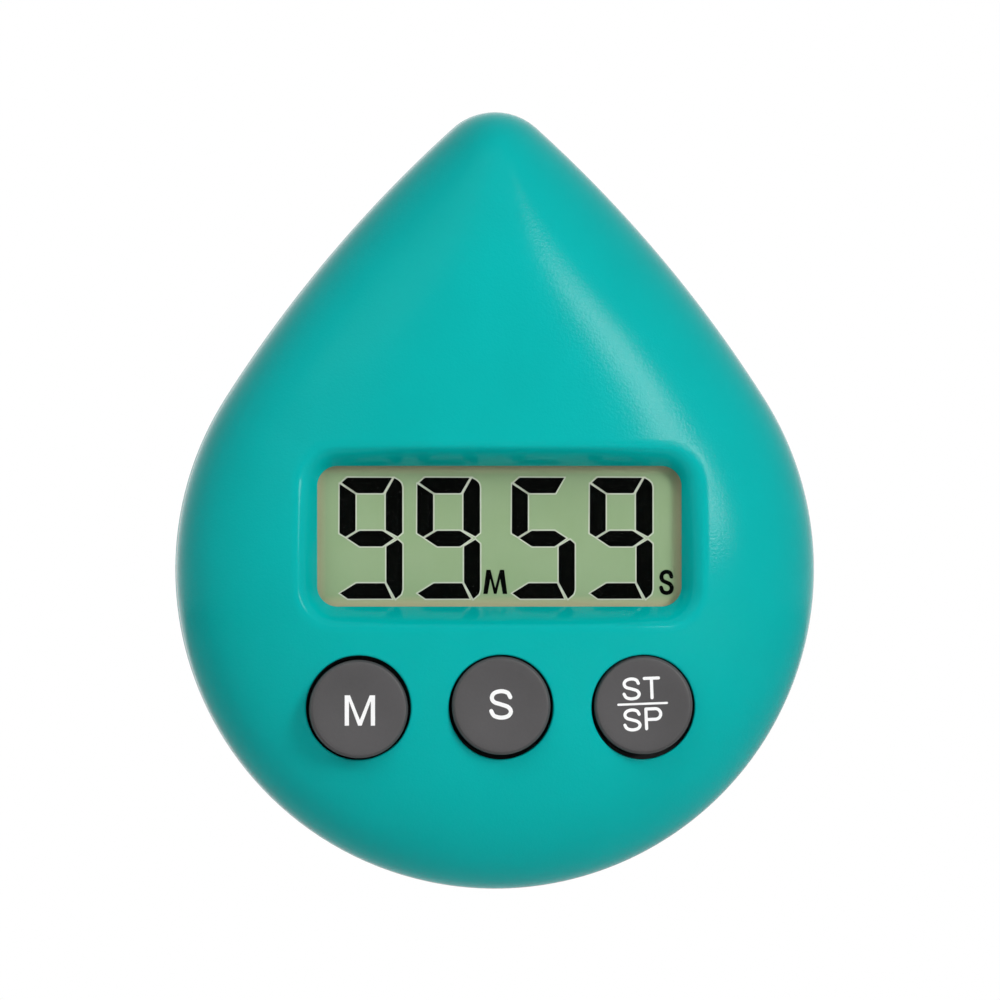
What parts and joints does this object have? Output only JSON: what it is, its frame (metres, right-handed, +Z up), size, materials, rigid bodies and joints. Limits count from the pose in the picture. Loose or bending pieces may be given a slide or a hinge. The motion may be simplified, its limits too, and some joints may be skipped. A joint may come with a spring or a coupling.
{
  "type": "shower timer",
  "caption": "Water-drop countdown timer for a shower, with a minutes and seconds display, round push buttons and a suction cup hanger",
  "frame": {"origin": "centre of the suction cup's mouth, in the plane of the wall it holds to", "axes": "+X to the right as seen from the front, +Y into the wall, +Z up to the tip of the drop"},
  "size_m": [0.0756, 0.035, 0.092],
  "materials": {
    "teal_plastic": "satin moulded plastic",
    "button_grey": "satin moulded plastic",
    "dark_plastic": "satin moulded plastic",
    "clear_plastic": "clear",
    "display_glass": "grey-green polarised",
    "reflector_foil": "matt foil",
    "board_green": "solder resist",
    "black_resin": "cured resin",
    "grey_rubber": "matt silicone",
    "black_rubber": "matt",
    "steel": "plated",
    "brass": "bare",
    "ceramic": "fired ceramic with a silver face",
    "white_plastic": "satin",
    "red_insulation": "soft insulation",
    "black_insulation": "soft insulation",
    "soft_vinyl": "clear soft vinyl"
  },
  "bodies": {
    "suction_cup": {"suction_cup": "soft_vinyl"},
    "housing": {"front_shell": "teal_plastic", "rear_cover": "teal_plastic", "case_gasket": "grey_rubber", "case_screw_1": "steel", "case_screw_2": "steel", "case_screw_3": "steel", "window_lens": "clear_plastic", "display_glass": "display_glass", "display_reflector": "reflector_foil", "display_holder": "white_plastic", "contact_strip_bottom": "black_rubber", "contact_strip_top": "black_rubber", "circuit_board": "board_green", "board_screw_1": "steel", "board_screw_2": "steel", "board_screw_3": "steel", "board_screw_4": "steel", "chip_resin": "black_resin", "crystal_can": "steel", "keypad_mat": "grey_rubber", "battery_cell": "steel", "battery_o_ring": "black_rubber", "battery_contact_negative": "steel", "battery_contact_positive": "steel", "keyhole_plate": "dark_plastic", "plate_screw_1": "steel", "plate_screw_2": "steel", "buzzer_brass": "brass", "buzzer_ceramic": "ceramic", "red_battery_wire": "red_insulation", "black_battery_wire": "black_insulation", "red_buzzer_wire": "red_insulation", "black_buzzer_wire": "black_insulation"},
    "minute_button": {"minute_button": "button_grey", "minute_pill": "black_rubber"},
    "second_button": {"second_button": "button_grey", "second_pill": "black_rubber"},
    "start_stop_button": {"start_stop_button": "button_grey", "start_stop_pill": "black_rubber"},
    "battery_cap": {"battery_cap": "dark_plastic"}
  },
  "joints": [
    {"name": "housing_lift", "type": "slide", "parent": "suction_cup", "child": "housing", "axis": [0, 0, 1], "range_m": [0, 0.009]},
    {"name": "minute_press", "type": "slide", "parent": "housing", "child": "minute_button", "axis": [0, 1, 0], "range_m": [0, 0.0008], "stiffness_N_per_m": 900, "deforming": ["keypad_mat"]},
    {"name": "second_press", "type": "slide", "parent": "housing", "child": "second_button", "axis": [0, 1, 0], "range_m": [0, 0.0008], "stiffness_N_per_m": 900, "deforming": ["keypad_mat"]},
    {"name": "start_stop_press", "type": "slide", "parent": "housing", "child": "start_stop_button", "axis": [0, 1, 0], "range_m": [0, 0.0008], "stiffness_N_per_m": 900, "deforming": ["keypad_mat"]},
    {"name": "battery_cap_turn", "type": "hinge", "parent": "housing", "child": "battery_cap", "pos_m": [0, -0.01, -0.02975], "axis": [0, 1, 0], "range_deg": [0, 60]}
  ]
}
